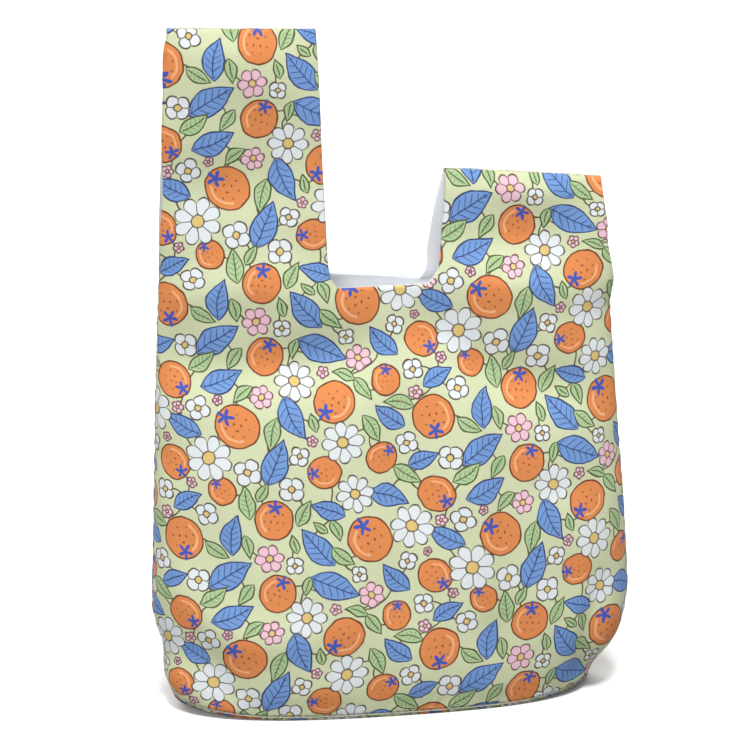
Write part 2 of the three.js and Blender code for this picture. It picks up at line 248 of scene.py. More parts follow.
seamOut = np.array(clothMesh["seamSteps"]) / bagForm["bellyHalfDepth"]
seamT = np.arccos(seamOut ** (bagForm["ovalPower"] / 2)) * 2 / pi
seamEndX = bagForm["mouthHalfWidth"] * oval(seamT[-1:])[0][0]
longX = linesBetween(-seamEndX, cornerX(longHandle), edgeAtEnd=True)
mouthX = linesBetween(cornerX(longHandle), cornerX(shortHandle), True, True)
shortX = linesBetween(cornerX(shortHandle), seamEndX, edgeAtStart=True)
columnT = np.concatenate([
    -seamT, ovalAt(longX)[1:], ovalAt(mouthX)[1:], ovalAt(shortX)[1:], seamT[::-1][1:],
])
longCorner = len(seamT) + len(longX) - 2
shortCorner = longCorner + len(mouthX) - 1
handleColumns = {"longHandle": slice(0, longCorner + 1), "shortHandle": slice(shortCorner, len(columnT))}
centreColumn = int(np.argmin(np.abs(columnT)))

wallBottom = {"shell": 2.0, "interlining": 2.4, "lining": 3.3}
wallLines = linesBetween(0, bagForm["mouthHeight"], True, True) / bagForm["mouthHeight"]


def wallGrid(side, cloth, out):
    t = np.broadcast_to(columnT, (len(wallLines), len(columnT)))
    bottom = wallBottom[cloth]
    height = bottom + (rimAt(side, t) - bottom) * wallLines[:, None]
    return wallPoints(side, t, height, out)


def climbLines(handle):
    lines = linesBetween(0, handle["outerRise"])
    over = 1 + np.linspace(0, 1, clothMesh["overTopLines"])[1:]
    return np.concatenate([lines / handle["outerRise"], over])


def stripGrid(handle, side, out):
    columns, climb = columnT[handleColumns[handle["name"]]], climbLines(handle)[:, None]
    t = np.broadcast_to(columns, (len(climb), len(columns)))
    return stripPoints(handle, side, t, climb + 0 * t, out)


def alongRows(grid):  # length along each row from its first column
    steps = np.linalg.norm(np.diff(grid, axis=1), axis=2)
    return np.concatenate([np.zeros((len(grid), 1)), np.cumsum(steps, axis=1)], axis=1)


def alongColumn(grid, column):  # length up one column from its first row
    steps = np.linalg.norm(np.diff(grid[:, column], axis=0), axis=1)
    return np.concatenate([[0], np.cumsum(steps)])


def distanceTo(grid, place):
    return np.linalg.norm(grid - place, axis=2)


# One side of the bag laid out before its folds: three grids, their flat places on the cut cloth, and each
# point's distance from a turned edge and from a sewn seam.
def layOut(side):
    wall = wallGrid(side, "shell", bagForm["wallThickness"])
    strips = {h["name"]: stripGrid(h, side, bagForm["wallThickness"]) for h in handles}
    across = alongRows(wall)
    u = across - across[:, centreColumn:centreColumn + 1]
    v = np.broadcast_to(alongColumn(wall, centreColumn)[:, None], u.shape)
    flat = {"wall": np.stack([u, v], axis=2)}
    fromLeft, fromRight = across, across[:, -1:] - across
    up = wall[..., 2]
    edge = np.full(u.shape, farAway)
    mouth = slice(longCorner, shortCorner + 1)
    edge[:, mouth] = np.linalg.norm(wall[:, mouth] - wall[-1:, mouth], axis=2)
    for column in (longCorner, shortCorner):
        edge = np.minimum(edge, distanceTo(wall, wall[-1, column]))
    seam = np.minimum(fromLeft, fromRight)
    openFrom = bagForm["mouthHeight"] + shortHandle["seamEnd"]
    opened = (up > openFrom) & (columnT > 0)
    edge = np.where(opened, np.minimum(edge, fromRight), edge)
    seam = np.where(opened, np.hypot(fromRight, up - openFrom), seam)
    bottom = alongColumn(wall, centreColumn)[:, None] + 0 * u
    reach = {"wall": {"edge": edge, "seam": seam, "bottom": bottom}}
    for handle in handles:
        strip = strips[handle["name"]]
        columns = handleColumns[handle["name"]]
        along = alongRows(strip)
        ends = (along[:, -1:] - along, along)
        fromInner, fromOuter = ends if handle["side"] < 0 else ends[::-1]
        innerColumn = -1 if handle["side"] < 0 else 0
        cornerU = flat["wall"][-1, columns][innerColumn, 0]
        innerU = cornerU + strip[:, innerColumn, 0] - strip[0, innerColumn, 0]
        stripU = innerU[:, None] + handle["side"] * fromInner
        middle = strip.shape[1] // 2
        stripV = v[-1, 0] + alongColumn(strip, middle)[:, None] + 0 * stripU
        flat[handle["name"]] = np.stack([stripU, stripV], axis=2)
        sewnTo = bagForm["mouthHeight"] + handle["seamEnd"]
        height = strip[..., 2]
        edge = np.where(height > sewnTo, np.minimum(fromInner, fromOuter), fromInner)
        seam = np.where(height > sewnTo, np.hypot(fromOuter, height - sewnTo), fromOuter)
        fromTop = alongColumn(strip, middle)[-1] - alongColumn(strip, middle)[:, None] + 0 * stripU
        seam = np.minimum(seam, fromTop)
        reach[handle["name"]] = {"edge": edge, "seam": seam, "bottom": np.full(edge.shape, farAway)}
    return {"side": side, "grids": {"wall": wall, **strips}, "flat": flat, "reach": reach}


# Smooth outward normals of the three grids of a side; the lines where they join share theirs.
def gridNormals(side, grids, wallOnly=False):
    def normals(grid):
        upward, across = np.gradient(grid, axis=0), np.gradient(grid, axis=1)
        normal = np.cross(across, upward) * -side["y"]
        return normal / np.maximum(np.linalg.norm(normal, axis=2, keepdims=True), nearZero)

    wall, overlap = grids["wall"], 3
    found = {"wall": normals(wall)}
    for handle in () if wallOnly else handles:
        columns = handleColumns[handle["name"]]
        strip = grids[handle["name"]]
        both = normals(np.concatenate([wall[-1 - overlap:-1, columns], strip]))
        found[handle["name"]] = both[overlap:]
        found["wall"][-1, columns] = both[overlap]
    return found


layouts = {side["name"]: layOut(side) for side in sides}
print("cloth lines:", layouts["Front"]["grids"]["wall"].shape[:2], "on each wall")

# Soft folds of the walls: a path of (x, height) places, a depth, positive in a ridge, and a spread
frontFolds = [
    ([(-124, 195), (-52, 193), (8, 208)], -7.6, 16),
    ([(-122, 231), (-76, 233), (-28, 231)], 5.0, 14),
    ([(-118, 282), (-76, 288), (-34, 276)], -3.0, 18),
    ([(-116, 336), (-76, 348), (-40, 340)], 5.2, 27),
    ([(6, 222), (50, 186), (112, 170)], -7.2, 15),
    ([(30, 235), (70, 228), (112, 223)], 4.4, 13),
    ([(34, 251), (74, 251), (110, 248)], -3.2, 13),
    ([(34, 289), (74, 291), (110, 286)], 6.8, 21),
    ([(32, 192), (42, 128), (49, 62)], 5.4, 11),
    ([(-84, 24), (0, 23), (84, 22)], 1.6, 26),
    ([(2, 190), (5, 130), (10, 58)], -3.2, 11),
    ([(-127, 62), (-106, 42), (-88, 4)], -2.8, 12),
    ([(-104, 50), (-64, 47), (-24, 52)], 2.6, 12),
    ([(112, 66), (106, 36), (101, 4)], -3.4, 6),
    ([(-130, 210), (-110, 204)], -1.5, 5),
    ([(-130, 172), (-109, 166)], -1.3, 5),
    ([(-131, 140), (-112, 146)], -1.1, 5),
    ([(62, 128), (84, 118), (112, 122)], -1.2, 8),
    ([(-118, 330), (-92, 324), (-64, 330)], -1.1, 14),
    ([(-60, 300), (-44, 270), (-34, 244)], 0.9, 10),
    ([(52, 278), (78, 262), (104, 268)], -1.0, 10),
]
backFolds = [
    ([(-124, 196), (-46, 206), (10, 216)], -4.0, 12),
    ([(20, 226), (46, 200), (110, 186)], -3.8, 11),
    ([(-30, 190), (-36, 130), (-30, 62)], 3.0, 10),
    ([(30, 184), (22, 120), (28, 50)], -2.6, 12),
    ([(-122, 60), (-100, 36), (-90, 6)], -2.4, 11),
    ([(118, 66), (102, 34), (94, 6)], -2.2, 10),
    ([(-116, 316), (-90, 322), (-62, 312)], -1.0, 13),
    ([(60, 120), (90, 130), (118, 126)], 1.2, 10),
]
wallSurface = {
    "unevenness": 0.55,  # how far the cloth wanders in and out, in millimetres
    "unevenLength": 52,
    "puckerDepth": 0.34,  # the small waves that a sewn seam draws up
    "puckerLength": 9.5,
    "puckerReach": 7,
    "puckersStartAt": 2,
    "puckerUnevenness": 0.5, "puckerUnevenLength": 30,
    "puckerDrift": 1.5, "puckerDriftLength": 24,  # how far out of step the small waves get
    "foldsStartAt": 14,  # a fold reaches its full depth this far from a seam
    "foldEnds": 0.35,  # the share of its depth that a fold has at its ends
    "handOver": 12,  # over this height a strip takes over from the wall's folds
    "pathPlaces": 40,  # the distance to a fold is taken to this many places of its path
    "waves": 7,  # what wanders is a sum of this many waves
    "waveLengths": (0.6, 1.5),
    "seed": 11,
}


# Distance of grid points from a smooth path, and how far along it the nearest place is, from 0 to 1.
def nearPath(x, height, path):
    stops = np.linspace(0, 1, len(path))
    along = np.linspace(0, 1, wallSurface["pathPlaces"])
    degree = min(2, len(path) - 1)
    curveX = np.polyval(np.polyfit(stops, [p[0] for p in path], degree), along)
    curveZ = np.polyval(np.polyfit(stops, [p[1] for p in path], degree), along)
    gaps = np.hypot(x[..., None] - curveX, height[..., None] - curveZ)
    return gaps.min(axis=-1), along[gaps.argmin(axis=-1)]


def wander(x, height, length, seed):  # a seeded sum of slow waves
    random = np.random.default_rng(seed)
    total = 0
    for _ in range(wallSurface["waves"]):
        heading, wave = random.uniform(0, tau), length * random.uniform(*wallSurface["waveLengths"])
        start = random.uniform(0, tau)
        total = total + np.sin((x * cos(heading) + height * sin(heading)) * tau / wave + start)
    return total / wallSurface["waves"] ** 0.5


def foldDepth(side, grid, flat, reach):
    look, x, height = wallSurface, grid[..., 0], grid[..., 2]
    total = look["unevenness"] * wander(x, height, look["unevenLength"], look["seed"])
    for path, depth, spread in frontFolds if side is front else backFolds:
        gap, along = nearPath(x, height, path)
        ends = look["foldEnds"]
        fade = ends + (1 - ends) * np.sin(pi * clamp01(along)) if len(path) > 2 else 1 - along
        total = total + depth * fade * np.exp(-(gap / spread) ** 2)
    for sewn in ("seam", "bottom"):
        total = total * smooth(reach[sewn] / look["foldsStartAt"])
    uneven = wander(x, height, look["puckerUnevenLength"], look["seed"] + 1)
    draw = look["puckerDepth"] * (1 + look["puckerUnevenness"] * uneven)
    for sewn, axis, seed in (("seam", 1, 5), ("bottom", 0, 6)):
        drift = look["puckerDrift"] * wander(x, height, look["puckerDriftLength"], seed)
        wave = np.sin(flat[..., axis] * tau / look["puckerLength"] + drift)
        near = np.exp(-reach[sewn] / look["puckerReach"]) * clamp01(reach[sewn] / look["puckersStartAt"])
        total = total + draw * wave * near
    return total


# The three cloths of a wall, as distances out from the lining's inside face
clothLayers = {
    "shell": {"inner": 2.2, "outer": 3.0, "slot": "printed_cotton"},
    "interlining": {"inner": 0.9, "outer": 1.9, "slot": "interlining_felt"},
    "lining": {"inner": 0.0, "outer": 0.6, "slot": "lining_cotton"},
}
edgeShape = {
    "roll": 1.3,  # how round a turned edge is
    "turnIn": 0.95,  # the shell's turned edge reaches in to here
    "turnWidth": 1.6,
    "liningRoll": 0.45,
    "liningReach": 0.78,
    "bottomRoll": 0.9,
    "grooveDepth": 0.75,  # a sewn seam draws the cloth in
    "grooveWidth": 1.3,
    "grooveInside": 0.6,
    "shadeWidth": 1.4,  # how far the shade that gathers along a seam reaches
}


def seamShade(distance):
    return np.exp(-(distance / edgeShape["shadeWidth"]) ** 2)


def rolled(distance, radius):
    near = clamp01(1 - distance / radius)
    return radius * (1 - np.sqrt(1 - near ** 2))


def layerDistances(cloth, reach):  # how far out a cloth's inner and outer faces lie at each point
    layer, edge = clothLayers[cloth], reach["edge"]
    groove = edgeShape["grooveDepth"] * np.exp(-(reach["seam"] / edgeShape["grooveWidth"]) ** 2)
    turned = smooth(1 - edge / edgeShape["turnWidth"])
    if cloth == "shell":
        outer = layer["outer"] - rolled(edge, edgeShape["roll"])
        outer = outer - rolled(reach["bottom"], edgeShape["bottomRoll"])
        inner = mix(layer["inner"], edgeShape["turnIn"], turned) - groove * edgeShape["grooveInside"]
        return inner, outer - groove * (1 - turned)
    if cloth == "lining":
        inner = layer["inner"] + rolled(edge, edgeShape["liningRoll"])
        return inner, mix(layer["outer"], edgeShape["liningReach"], turned)
    return layer["inner"] + 0 * edge, layer["outer"] + 0 * edge


# A cloth's inner or outer face over a whole side: its three grids with the folds in place
def clothFace(layout, cloth, outside):
    side, grids = layout["side"], {}
    for name, reach in layout["reach"].items():
        distance = layerDistances(cloth, reach)[1 if outside else 0]
        if name == "wall":
            grid = wallGrid(side, cloth, distance)
        else:
            grid = stripGrid(handleNamed[name], side, distance)
        grids[name] = grid + layout["normals"][name] * layout["folds"][name][..., None]
    return grids


for layout in layouts.values():
    side, grids = layout["side"], layout["grids"]
    layout["normals"] = gridNormals(side, grids)
    layout["folds"] = {
        name: foldDepth(side, grids[name], layout["flat"][name], layout["reach"][name]) for name in grids
    }
    for handle in handles:  # a strip takes over where the wall leaves off
        columns = handleColumns[handle["name"]]
        climb = climbLines(handle)[:, None] * handle["outerRise"]
        rimFold = layout["folds"]["wall"][-1, columns]
        own = layout["folds"][handle["name"]]
        own += (rimFold - own[0]) * np.exp(-climb / wallSurface["handOver"])


def addToScene(name, data):
    thing = bpy.data.objects.new(name, data)
    bpy.context.scene.collection.objects.link(thing)
    return thing


# A closed cloth between an outer and an inner grid. Each corner of a face carries its own normal, so that two
# pieces of one cloth meet without a line.
def makeCloth(name, outer, inner, outerNormals, innerNormals, flat, shade, mirrored, material):
    lines, columns = outer.shape[:2]
    index = np.arange(lines * columns).reshape(lines, columns)
    corners = np.stack([index[:-1, :-1], index[:-1, 1:], index[1:, 1:], index[1:, :-1]], axis=-1)
    corners = corners.reshape(-1, 4)
    rimLoop = np.concatenate([index[0, :-1], index[:-1, -1], index[-1, :0:-1], index[:0:-1, 0]])
    nextOne, below = np.roll(rimLoop, -1), lines * columns
    sideFaces = np.stack([nextOne, rimLoop, rimLoop + below, nextOne + below], axis=-1)
    faces = np.concatenate([corners, corners[:, ::-1] + below, sideFaces])
    if mirrored:
        faces = faces[:, ::-1]
    points = np.concatenate([outer.reshape(-1, 3), inner.reshape(-1, 3)])
    points = (points - np.array([bagForm["bellyShift"], 0, 0])) * metresPerMm
    normals = np.concatenate([outerNormals.reshape(-1, 3), -innerNormals.reshape(-1, 3)])[faces]
    edgeOnes = points[faces[-len(rimLoop):]]
    facing = np.cross(edgeOnes[:, 2] - edgeOnes[:, 0], edgeOnes[:, 3] - edgeOnes[:, 1])
    facing /= np.maximum(np.linalg.norm(facing, axis=1, keepdims=True), nearZero)
    normals[-len(rimLoop):] = facing[:, None]
    mesh = bpy.data.meshes.new(name)
    mesh.from_pydata(points.tolist(), [], faces.tolist())
    mesh.materials.append(material)
    places = np.concatenate([flat.reshape(-1, 2)] * 2)[faces].reshape(-1, 2) * metresPerMm
    mesh.uv_layers.new(name="cloth").data.foreach_set("uv", places.ravel())
    shades = np.concatenate([shade.ravel()] * 2).astype(np.float32)
    mesh.attributes.new("seamShade", "FLOAT", "POINT").data.foreach_set("value", shades)
    mesh.polygons.foreach_set("use_smooth", np.ones(len(faces), bool))
    mesh.normals_split_custom_set(normals.reshape(-1, 3).tolist())
    return addToScene(name, mesh)


def paint(code):  # a written sRGB colour as the linear one that a shader takes
    parts = [int(code[i:i + 2], 16) / 255 for i in (0, 2, 4)]
    return [p / 12.92 if p < 0.04045 else ((p + 0.055) / 1.055) ** 2.4 for p in parts] + [1]


def feed(tree, socket, value):
    if isinstance(value, bpy.types.NodeSocket):
        tree.links.new(value, socket)
    else:
        socket.default_value = value


def feedAll(tree, node, fed):  # fed gives a node's inputs by name or number
    for label, value in fed.items():
        feed(tree, node.inputs[label], value)


def addNode(tree, kind, fed, **settings):
    node = tree.nodes.new(kind)
    for name, value in settings.items():
        setattr(node, name, value)
    feedAll(tree, node, fed)
    return node


def doMath(tree, operation, *values):
    return addNode(tree, "ShaderNodeMath", dict(enumerate(values)), operation=operation).outputs[0]


def doVector(tree, operation, *values):
    places = (0, 3) if operation == "SCALE" else (0, 1, 2)
    node = addNode(tree, "ShaderNodeVectorMath", dict(zip(places, values)), operation=operation)
    return node.outputs["Value" if operation in ("DOT_PRODUCT", "LENGTH") else "Vector"]


def mathIn(tree):  # the two kinds of sum, made in one tree
    return partial(doMath, tree), partial(doVector, tree)


def overlay(tree, under, over, share):
    return addNode(tree, "ShaderNodeMix", {6: under, 7: over, 0: share}, data_type="RGBA").outputs[2]


def noiseAt(tree, place, scale, detail=2.0):
    return addNode(tree, "ShaderNodeTexNoise", {"Vector": place, "Scale": scale, "Detail": detail}).outputs


def joinedXYZ(tree, x, y, z):
    return addNode(tree, "ShaderNodeCombineXYZ", {"X": x, "Y": y, "Z": z}).outputs[0]


def splitXYZ(tree, place):
    return addNode(tree, "ShaderNodeSeparateXYZ", {"Vector": place}).outputs


def startGroup(name, inputs, outputs):
    kinds = {"number": "NodeSocketFloat", "place": "NodeSocketVector", "colour": "NodeSocketColor"}
    group = bpy.data.node_groups.new(name, "ShaderNodeTree")
    for label, kind in inputs.items():
        group.interface.new_socket(label, in_out="INPUT", socket_type=kinds[kind])
    for label, kind in outputs.items():
        group.interface.new_socket(label, in_out="OUTPUT", socket_type=kinds[kind])
    return group, group.nodes.new("NodeGroupInput").outputs, group.nodes.new("NodeGroupOutput").inputs


def useGroup(tree, group, values):
    return addNode(tree, "ShaderNodeGroup", values, node_tree=group).outputs


# The print repeats over a tile, in millimetres, and each column of tiles stands half a tile higher than the
# one before it. Sizes run from the largest to the smallest of a kind.
whitePetals = {"fill": "dfe5e7", "heart": "dcc078", "inkColour": "574b47"}
pinkPetals = {"fill": "e9c0ce", "inkColour": "704a53"}
printDesign = {
    "tile": (136, 126),
    "seed": 9,
    "tries": 700,
    "ink": 0.43,  # half the width of a drawn line
    "wobble": 0.9,  # how unsteady the drawn lines are
    "wobbleScale": 0.16,
    "ground": "cfd6af",
    "kinds": {
        "fruit": {"count": 12, "sizes": (12.4, 7.6), "fill": "de8a50", "inkColour": "6e3a28"},
        "blueLeaf": {"count": 14, "sizes": (14.0, 8.6), "slim": 0.5, "fill": "7299d2", "inkColour": "35406f"},
        "daisy": {"count": 5, "sizes": (12.4, 10.0), "petals": 8, **whitePetals},
        "rosette": {"count": 3, "sizes": (7.6, 6.2), "petals": 6, "heart": "dcc47c", **pinkPetals},
        "blossom": {"count": 11, "sizes": (7.4, 4.6), "petals": 4, **whitePetals},
        "greenLeaf": {
            "count": 20, "sizes": (9.2, 4.8), "slim": 0.46, "fill": "adc896", "inkColour": "4f5a36",
        },
        "bud": {"count": 7, "sizes": (3.6, 2.4), "petals": 5, "heart": "e2d2a0", **pinkPetals},
    },
    "stemColour": "5b503b",
    "stemBow": (0.1, 0.22),
    "calyx": "4257b2",
    "gleam": "efb080",
    "leafDiscs": (-0.6, 0, 0.6),  # a leaf is known by three discs along it, anything else by one
    "discMargin": 1.05,
}


def toNearestCopy(offsets):  # offsets between places of the print, each to the other's nearest copy
    width, height = printDesign["tile"]
    columns = np.round(offsets[..., 0] / width)
    across = offsets[..., 0] - columns * width
    up = (offsets[..., 1] - columns * height / 2 + height / 2) % height - height / 2
    return np.stack([across, up], axis=-1)


# Where the motifs stand on the tile: each takes the most open of many random places.
def arrangeMotifs():
    random = np.random.default_rng(printDesign["seed"])
    tile, tries = np.array(printDesign["tile"]), printDesign["tries"]
    taken, takenRadius, motifs = np.zeros((0, 2)), np.zeros(0), []
    for kind, look in printDesign["kinds"].items():
        parts = np.array(printDesign["leafDiscs"] if "slim" in look else (0.0,))
        shares = printDesign["discMargin"] - np.abs(parts) if "slim" in look else np.array([1.0])
        for size in np.linspace(*look["sizes"], look["count"]):
            radius = size * look.get("slim", 1) * shares
            places, turns = random.uniform((0, 0), tile, (tries, 2)), random.uniform(0, tau, tries)
            headings = np.stack([np.cos(turns), np.sin(turns)], axis=1)
            spots = places[:, None] + headings[:, None] * size * parts[:, None]
            gaps = toNearestCopy(spots[:, :, None] - taken)
            room = np.linalg.norm(gaps, axis=-1) - radius[:, None] - takenRadius
            best = int(np.argmax(room.min(axis=(1, 2)))) if len(taken) else 0
            taken = np.concatenate([taken, spots[best]])
            takenRadius = np.concatenate([takenRadius, radius])
            motif = {"kind": kind, "size": float(size), "place": places[best], "heading": headings[best]}
            motifs.append(motif)
    return motifs


def vector3(pair):
    return (float(pair[0]), float(pair[1]), 0.0)


# Each motif's group lays one drawn thing over the colour under it. Position and sizes are in millimetres.
def startMotif(name, numbers, colours, turned=True):
    places = ("Position", "Centre", "Along", "Across") if turned else ("Position", "Centre")
    inputs = {**dict.fromkeys(places, "place"), **dict.fromkeys(numbers, "number")}
    inputs.update(dict.fromkeys(("Under", "Ink", *colours), "colour"))
    return startGroup(name, inputs, {"Colour": "colour"})


def fromCentre(tree, given):  # the place seen from the nearest copy of the motif's centre
    calc, vector = mathIn(tree)
    width, height = printDesign["tile"]
    offset = vector("SUBTRACT", given["Position"], given["Centre"])
    column = calc("ROUND", vector("DOT_PRODUCT", offset, (1 / width, 0, 0)))
    offset = vector("SUBTRACT", offset, vector("SCALE", (width, height / 2, 0), column))
    return vector("WRAP", offset, (width, height / 2, 1), (-width, -height / 2, -1))


def fromCentreTurned(tree, given):
    offset = fromCentre(tree, given)
    return [doVector(tree, "DOT_PRODUCT", offset, given[label]) for label in ("Along", "Across")]


leafDrawing = {
    "taper": 0.32,  # how much slimmer a leaf gets towards its tip
    "leastTaper": 0.3,
    "rib": 0.7,  # the middle rib's width, in drawn lines
    "veinSlant": 0.8,
    "vein": 0.13,  # the share of their spacing that the veins take up
    "bareEdge": 1.3,
    "veinGap": 0.3, "bend": 0.2,  # shares of a leaf's half length
}


def buildLeafMotif():
    look, ink = leafDrawing, printDesign["ink"]
    tree, given, made = startMotif("leafMotif", ("Half length", "Half width", "Bend", "Vein gap"), ("Fill",))
    calc = partial(doMath, tree)
    x, y = fromCentreTurned(tree, given)
    along = calc("DIVIDE", x, given["Half length"])
    squared = calc("MULTIPLY", along, along)
    swell = calc("SUBTRACT", 1.0, squared)
    taper = calc("MAXIMUM", calc("MULTIPLY_ADD", along, -look["taper"], 1.0), look["leastTaper"])
    width = calc("MULTIPLY", calc("MULTIPLY", swell, taper), given["Half width"])
    fromRib = calc("ABSOLUTE", calc("MULTIPLY_ADD", squared, given["Bend"], y))
    depth = calc("SUBTRACT", width, fromRib)
    leaf = calc("GREATER_THAN", depth, 0.0)
    outline = calc("COMPARE", depth, 0.0, ink)
    rib = calc("LESS_THAN", fromRib, ink * look["rib"])
    slanted = calc("DIVIDE", calc("MULTIPLY_ADD", fromRib, -look["veinSlant"], x), given["Vein gap"])
    vein = calc("LESS_THAN", calc("FRACT", slanted), look["vein"])
    inside = calc("GREATER_THAN", depth, look["bareEdge"])
    lines = calc("MAXIMUM", outline, calc("MULTIPLY", calc("MAXIMUM", rib, vein), inside))
    filled = overlay(tree, given["Under"], given["Fill"], leaf)
    tree.links.new(overlay(tree, filled, given["Ink"], lines), made["Colour"])
    return tree


flowerDrawing = {
    "notch": 0.42,  # how deep the petals part
    "roundness": 0.5,
    "heart": 0.27,
    "petalLine": 0.6,  # in drawn lines
    "heartLine": 0.8,
}


def buildFlowerMotif():
    look, ink = flowerDrawing, printDesign["ink"]
    numbers = ("Petals", "Turn", "Radius", "Notch", "Heart")
    tree, given, made = startMotif("flowerMotif", numbers, ("Fill", "Heart colour"), turned=False)
    calc, vector = mathIn(tree)
    offset = fromCentre(tree, given)
    radius = vector("LENGTH", offset)
    parts = splitXYZ(tree, offset)
    angle = calc("ARCTAN2", parts["Y"], parts["X"])
    halfPetals = calc("MULTIPLY", given["Petals"], 0.5)
    lobe = calc("ABSOLUTE", calc("COSINE", calc("MULTIPLY_ADD", angle, halfPetals, given["Turn"])))
    full = calc("SUBTRACT", 1.0, given["Notch"])
    reach = calc("MULTIPLY_ADD", calc("POWER", lobe, look["roundness"]), given["Notch"], full)
    depth = calc("SUBTRACT", calc("MULTIPLY", reach, given["Radius"]), radius)
    petal = calc("GREATER_THAN", depth, 0.0)
    outline = calc("COMPARE", depth, 0.0, ink)
    lineWidth = calc("MULTIPLY", halfPetals, ink * look["petalLine"])
    parted = calc("LESS_THAN", calc("MULTIPLY", lobe, radius), lineWidth)
    lines = calc("MAXIMUM", outline, calc("MULTIPLY", parted, petal))
    heart = calc("LESS_THAN", radius, given["Heart"])
    heartLine = calc("COMPARE", radius, given["Heart"], ink * look["heartLine"])
    drawn = given["Under"]
    layers = (("Fill", petal), ("Ink", lines), ("Heart colour", heart), ("Ink", heartLine))
    for label, cover in layers:
        drawn = overlay(tree, drawn, given[label], cover)
    tree.links.new(drawn, made["Colour"])
    return tree


fruitDrawing = {
    "squash": 1.07,
    "gleamAt": 0.7, "gleamWidth": 0.055, "gleamFrom": 0.36,  # shares of the fruit's radius, as all here
    "poreRings": ((0.53, 7.0), (0.2, 3.0)),  # how far out, and how many
    "poreHeight": 0.035, "poreSpacing": 0.93, "poreWidth": 0.012,
    "starAt": 0.66, "starPoints": 5.0, "starReach": 0.27, "starNotch": 0.15,
}


def buildFruitMotif():
    look = fruitDrawing
    tree, given, made = startMotif("fruitMotif", ("Radius",), ("Fill", "Gleam", "Calyx"))
    calc, vector = mathIn(tree)
    x, y = fromCentreTurned(tree, given)

    def lengthOf(a, b):
        return vector("LENGTH", joinedXYZ(tree, a, b, 0.0))

    radius = lengthOf(x, y)
    depth = calc("SUBTRACT", given["Radius"], radius)
    body = calc("GREATER_THAN", depth, 0.0)
    outline = calc("COMPARE", depth, 0.0, printDesign["ink"])
    share = calc("DIVIDE", radius, given["Radius"])
    ring = calc("COMPARE", share, look["gleamAt"], look["gleamWidth"])
    lit = calc("GREATER_THAN", calc("DIVIDE", y, given["Radius"]), look["gleamFrom"])
    gleam = calc("MULTIPLY", ring, lit)
    turn = calc("ARCTAN2", y, x)
    pores = 0.0
    for place, count in look["poreRings"]:
        near = calc("COMPARE", share, place, look["poreHeight"])
        fromPore = calc("COSINE", calc("MULTIPLY", turn, count))
        spaced = calc("GREATER_THAN", fromPore, look["poreSpacing"] - look["poreWidth"] / place ** 2)
        pores = calc("MAXIMUM", calc("MULTIPLY", near, spaced), pores)
    starX = calc("MULTIPLY_ADD", given["Radius"], -look["starAt"], x)
    starAngle = calc("MULTIPLY", calc("ARCTAN2", y, starX), look["starPoints"])
    starReach = calc("MULTIPLY_ADD", calc("COSINE", starAngle), look["starNotch"], look["starReach"])
    star = calc("LESS_THAN", lengthOf(starX, y), calc("MULTIPLY", starReach, given["Radius"]))
    drawn = given["Under"]
    lines = calc("MAXIMUM", outline, pores)
    for label, cover in (("Fill", body), ("Gleam", gleam), ("Ink", lines), ("Calyx", star)):
        drawn = overlay(tree, drawn, given[label], cover)
    tree.links.new(drawn, made["Colour"])
    return tree


def buildStemMotif():
    tree, given, made = startMotif("stemMotif", ("Half length", "Bow"), ())
    calc = partial(doMath, tree)
    x, y = fromCentreTurned(tree, given)
    along = calc("DIVIDE", x, given["Half length"])
    squared = calc("MULTIPLY", along, along)
    bowed = calc("MULTIPLY", calc("SUBTRACT", 1.0, squared), given["Bow"])
    line = calc("COMPARE", y, bowed, printDesign["ink"])
    drawn = calc("MULTIPLY", line, calc("LESS_THAN", squared, 1.0))
    tree.links.new(overlay(tree, given["Under"], given["Ink"], drawn), made["Colour"])
    return tree


